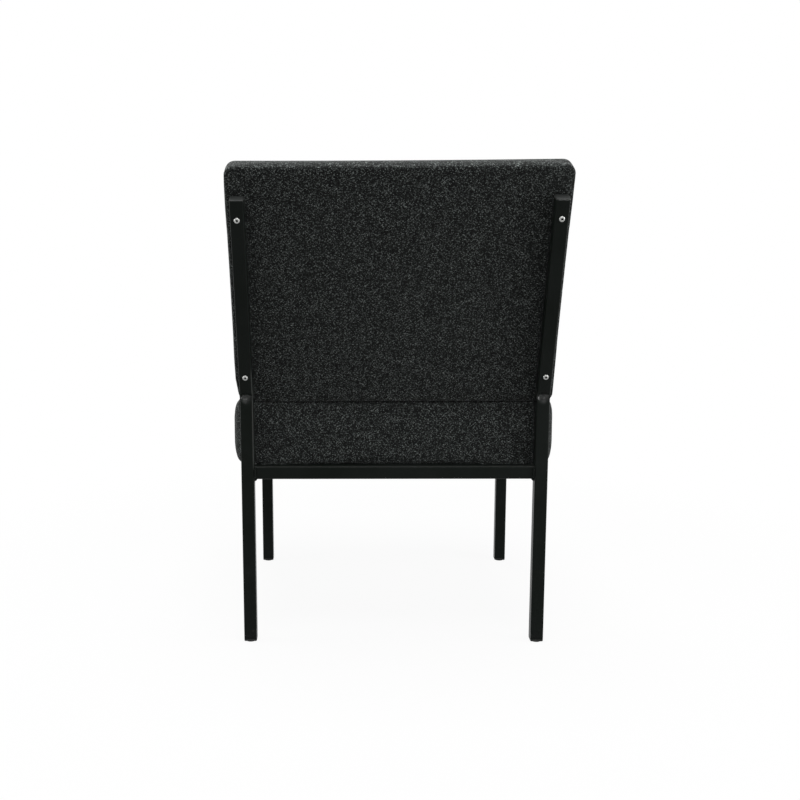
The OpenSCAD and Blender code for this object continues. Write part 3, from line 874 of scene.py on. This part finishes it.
def lay_cloth(pad, local):
    """A UV map in metres: each face takes the two local coordinates that its
    normal doesn't point along, so the weave runs square to the pad's edges."""
    mesh = pad.data
    loops = np.empty(len(mesh.loops), int)
    mesh.loops.foreach_get("vertex_index", loops)
    totals = np.empty(len(mesh.polygons), int)
    mesh.polygons.foreach_get("loop_total", totals)
    placed = local[loops]
    starts = np.concatenate([[0], np.cumsum(totals)[:-1]])
    first = placed[starts + 1] - placed[starts]
    second = placed[starts + 2] - placed[starts]
    facing = np.repeat(np.argmax(np.abs(np.cross(first, second)), -1), totals)
    x, y, z = placed.T
    uv = np.select([(facing == 0)[:, None], (facing == 1)[:, None]],
                   [np.stack([y, z], -1), np.stack([x, z], -1)],
                   np.stack([x, y], -1))
    layer = mesh.uv_layers.new(name="cloth")
    layer.data.foreach_set("uv", uv.ravel())


def finish_cover(pad, places, local):
    """Moves a cover's points, lays its weave and smooths it."""
    pad.data.vertices.foreach_set("co", places.ravel())
    lay_cloth(pad, local)
    pad.data.polygons.foreach_set("use_smooth", np.ones(len(pad.data.polygons), bool))
    fine = pad.modifiers.new("fine", "SUBSURF")
    fine.levels = fine.render_levels = 1


weave = charcoal_weave()
seat_low, seat_high = corners("seat_cover")
seat_width, seat_depth = seat_high[0] - seat_low[0], seat_high[1] - seat_low[1]
seat_edge, seat_crown, seat_radius = 108 * mm, 11 * mm, 12 * mm
seat_soft, seat_rear_radius = 30 * mm, 5 * mm
seat_corner, seat_draw = 34 * mm, 3 * mm
tuck, end_tuck, tuck_height = 10 * mm, 1 * mm, 34 * mm
skin, seat_voxel, seat_swell = 0.8 * mm, 5 * mm, 7 * mm
leg_gap, rail_gap, hem_height, held_height = 0.7 * mm, 0.02 * mm, 0.4 * mm, 2 * mm
bulge, bulge_run = 3.4 * mm, 30 * mm
lip, lip_run, lip_rise = 6.6 * mm, 10 * mm, 20 * mm
lip_flat, lip_height = 5 * mm, 8 * mm


def ease(share):
    """A smooth step from 0 to 1."""
    share = np.clip(share, 0, 1)
    return share ** 2 * (3 - 2 * share)


def rounded(share):
    """How far a quarter of a circle falls back, from 0 at a share of 0 to 1 at 1."""
    return 1 - np.sqrt(1 - np.clip(share, 0, 1) ** 2)


# The form: a flat underside, tucked sides and a crown. Its rear is pushed out over
# the rail, and the soft round of its top edge is filled there to a tighter one.
under = np.linspace(pole_share, 1 - pole_share, 20)
turn = np.linspace(0, math.pi / 2, 14)
rows = np.concatenate([
    np.stack([skin + tuck + 0 * under, skin + end_tuck + 0 * under, 0 * under, under], -1),
    np.stack([skin + tuck * (1 - np.sin(turn)), skin + end_tuck * (1 - np.sin(turn)),
              tuck_height * (1 - np.cos(turn)), 1 + 0 * turn], -1),
    crowned_rows(seat_edge, seat_radius, seat_soft, seat_crown, skin)])
points, faces = pad_surface(seat_width, seat_depth, seat_corner, seat_draw, rows)
x, y, z = points.T
pushed = (end_tuck + skin + lip) * np.clip(1 - z / tuck_height, 0, 1) ** 1.5
y = y + pushed * ease((inner_x - np.abs(x)) / lip_run) * np.clip(y / (seat_depth / 2), 0, 1)
below = np.clip(seat_edge - z, 0, seat_soft)
filled = (seat_radius * rounded(1 - below / seat_soft)
          - seat_rear_radius * rounded(1 - below / seat_rear_radius))
y = y + filled * np.clip(y / (seat_depth / 2 - seat_radius), 0, 1) ** 6
seat_middle = np.array([0, (seat_low[1] + seat_high[1]) / 2, seat_low[2]])
seat_pad = make_piece("seat_pad_cover", np.stack([x, y, z], -1) + seat_middle, faces, weave)
places, rest = swell(seat_pad, seat_voxel, seat_swell,
                     lambda places: places[:, 2] < seat_low[2] + held_height)

# What holds the swollen cloth: the legs, the rail and the back pad's lower edge,
# which leans over the seat and has pressed the foam in a little.
back_drop, pressed = 21 * mm, 2.4 * mm
back_face = tube_side + lay_gap
x, y, z = places.T
from_leg = inner_x - np.abs(x)
over_rail = np.clip(1 - (z - rail_top) / lip_rise, 0, 1)
y = np.minimum(y, rear_y - tube_side - leg_gap + np.maximum(
    bulge * ease(from_leg / bulge_run), lip * over_rail * ease(from_leg / lip_run)))
pad_rear = rear_y - back_face * math.cos(rake) - back_drop * math.sin(rake)
under_back = (bend_z - (back_drop - pressed) / math.cos(rake)
              - (np.minimum(y, pad_rear) - rear_y) * math.tan(rake))
z = np.minimum(z, np.maximum(under_back, rest[:, 2]))
in_lip = (from_leg > 0) & (y > rail_back - tube_side) & (z < rail_top + lip_height)
squared = rail_top + lip_height * np.clip(
    (z - rail_top - lip_flat) / (lip_height - lip_flat), 0, 1)
z = np.maximum(np.where(in_lip, squared, z), seat_low[2])
z = np.where(rest[:, 2] < seat_low[2] + hem_height, rail_top + rail_gap, z)
places = np.stack([x, y, z], -1)
finish_cover(seat_pad, places, places)
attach(seat_pad, "root")
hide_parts("seat_cover")


# The dust cloth: thin black spun polypropylene, folded in at its edges and
# stapled over the hem of the seat cover. It sags a little in the middle.
spun_black, spun_grey = (0.006, 0.006, 0.0065, 1), (0.018, 0.018, 0.0185, 1)


def spun_cloth():
    """Black with paler fibres, dimpled by the dots that bond them."""
    spun = Finish(bpy.data.materials.new("spun_dust_cloth"))
    place = spun.place()
    dots = spun.add("TexVoronoi", {"feature": "F1"}, {"Vector": place, "Scale": 620.0})
    fibre = spun.noise(place, 700.0, 4.0, 0.7)
    shader = spun.add("BsdfPrincipled", {}, {
        "Base Color": spun.mix(fibre, spun_black, spun_grey),
        "Roughness": 0.7 + fibre * 0.2, "Specular IOR Level": 0.3,
        "Normal": spun.bump(dots * 0.5 + fibre * 0.5, 0.5, 0.2 * mm)})
    return spun.end(shader)


dust_low, dust_high = corners("seat_dust_cover")
dust_size = dust_high[:2] - dust_low[:2]
dust_rows, dust_columns = 90, 100
sag, fold, fold_step, dust_thick = 3.2 * mm, 11 * mm, 1.5 * mm, 0.5 * mm
pull_depth, pull_reach, pull_start = 0.9 * mm, 22 * mm, 8 * mm
pulls_across, pulls_along = 41, 37
share_y, share_x = np.meshgrid(np.linspace(-1, 1, dust_rows), np.linspace(-1, 1, dust_columns),
                               indexing="ij")
in_x = (1 - np.abs(share_x)) * dust_size[0] / 2
in_y = (1 - np.abs(share_y)) * dust_size[1] / 2
from_edge = np.minimum(in_x, in_y)
slack = (1 - share_x ** 2) * (1 - share_y ** 2)
pulls = (np.sin(share_x * pulls_across) ** 2 * np.exp(-in_y / pull_reach)
         + np.sin(share_y * pulls_along) ** 2 * np.exp(-in_x / pull_reach))
doubled = 1 - np.clip((from_edge - fold) / fold_step, 0, 1)
depth = (dust_low[2] - sag * slack - dust_thick * doubled
         - pull_depth * pulls * np.clip(from_edge / pull_start, 0, 1))
points = np.stack([share_x * dust_size[0] / 2, (dust_low[1] + dust_high[1]) / 2
                   + share_y * dust_size[1] / 2, depth], -1)
dust_cloth = make_piece("dust_cloth_sheet", points,
                        grid_faces(dust_rows, dust_columns)[:, ::-1], spun_cloth())
thick = dust_cloth.modifiers.new("thick", "SOLIDIFY")
thick.thickness = dust_thick
thick.offset = -1
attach(dust_cloth, "root")
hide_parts("seat_dust_cover")


# The back pad: the same cloth in a slip cover, flat over the board behind and
# crowned over the foam in front. It is screwed to the uprights' front faces.
back_width, back_height, back_edge = 538 * mm, 414 * mm, 54 * mm
back_crown, back_radius, back_rear_radius = 9 * mm, 26 * mm, 3.5 * mm
back_corner, back_draw, back_skin = 15 * mm, 1 * mm, 0.3 * mm
back_voxel, back_swell, back_held, side_yarns = 4 * mm, 5 * mm, 4 * mm, 0.65
corner_give, corner_reach, corner_width = 7 * mm, 45 * mm, 60 * mm
foam_inset, foam_rear = 2.4 * mm, 14.2 * mm
board_inset, board_rear = 7.5 * mm, 1.9 * mm


def on_back(points):
    """Pad points, with height along the slope in Y and depth in Z, put on the
    uprights' front faces."""
    slope = np.stack([points[..., 0], -back_face - points[..., 2],
                      points[..., 1] + back_height / 2 - back_drop], -1)
    return lean(slope, (0, rear_y, bend_z), rake)


def off_back(places):
    """The pad's own coordinates of places on the chair."""
    y, z = places[..., 1] - rear_y, places[..., 2] - bend_z
    return np.stack([places[..., 0],
                     y * math.sin(rake) + z * math.cos(rake) - back_height / 2 + back_drop,
                     -y * math.cos(rake) + z * math.sin(rake) - back_face], -1)


def back_form(rows):
    """A closed form on the uprights. Its lower left corner has given way by a
    power curve of the height, which fades out inwards."""
    points, faces = pad_surface(back_width, back_height, back_corner, back_draw, rows)
    low = np.clip(1 - (points[:, 1] + back_height / 2) / corner_reach, 0, 1) ** 1.2
    points[:, 0] -= corner_give * low * np.clip(
        (points[:, 0] - back_width / 2) / corner_width + 1, 0, 1)
    return on_back(points), faces


def flat_rows(inset, height):
    """Rows that close a form's flat rear, up to its edge."""
    share = np.append(np.linspace(pole_share, 1 - pole_share, 30), 1)
    return np.stack([inset + 0 * share, inset + 0 * share, height + 0 * share, share], -1)


board_rows = np.concatenate([
    flat_rows(board_inset, board_rear),
    flat_rows(board_inset, board_rear + board_thickness)[::-1]])
foam_rows = np.concatenate([
    flat_rows(foam_inset, foam_rear),
    crowned_rows(back_edge, back_radius, back_radius, back_crown, foam_inset)])
for name, node, slot, rows, material in (
        ("back_board_panel", "back_board", "plywood", board_rows, birch),
        ("back_foam_block", "back_foam", "foam", foam_rows, cream_foam)):
    piece = make_piece(name, *back_form(rows), material)
    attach(piece, "root")
    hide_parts(node)

turn = np.linspace(0, math.pi / 2, 8)[1:]
inset = back_rear_radius - (back_rear_radius - back_skin) * np.sin(turn)
rear_edge = np.stack([inset, inset, back_rear_radius * (1 - np.cos(turn)), 1 + 0 * turn], -1)
rows = np.concatenate([
    flat_rows(back_rear_radius, 0), rear_edge,
    crowned_rows(back_edge, back_radius, back_radius, back_crown, back_skin)])
back_pad = make_piece("back_pad_cover", *back_form(rows), weave)
places, _ = swell(back_pad, back_voxel, back_swell,
                  lambda places: off_back(places)[:, 2] < back_held)
# Round the sides the cloth is stretched, with fewer yarns to the metre.
finish_cover(back_pad, places, off_back(places) * (1, 1, side_yarns))
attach(back_pad, "root")
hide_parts("back_cover")
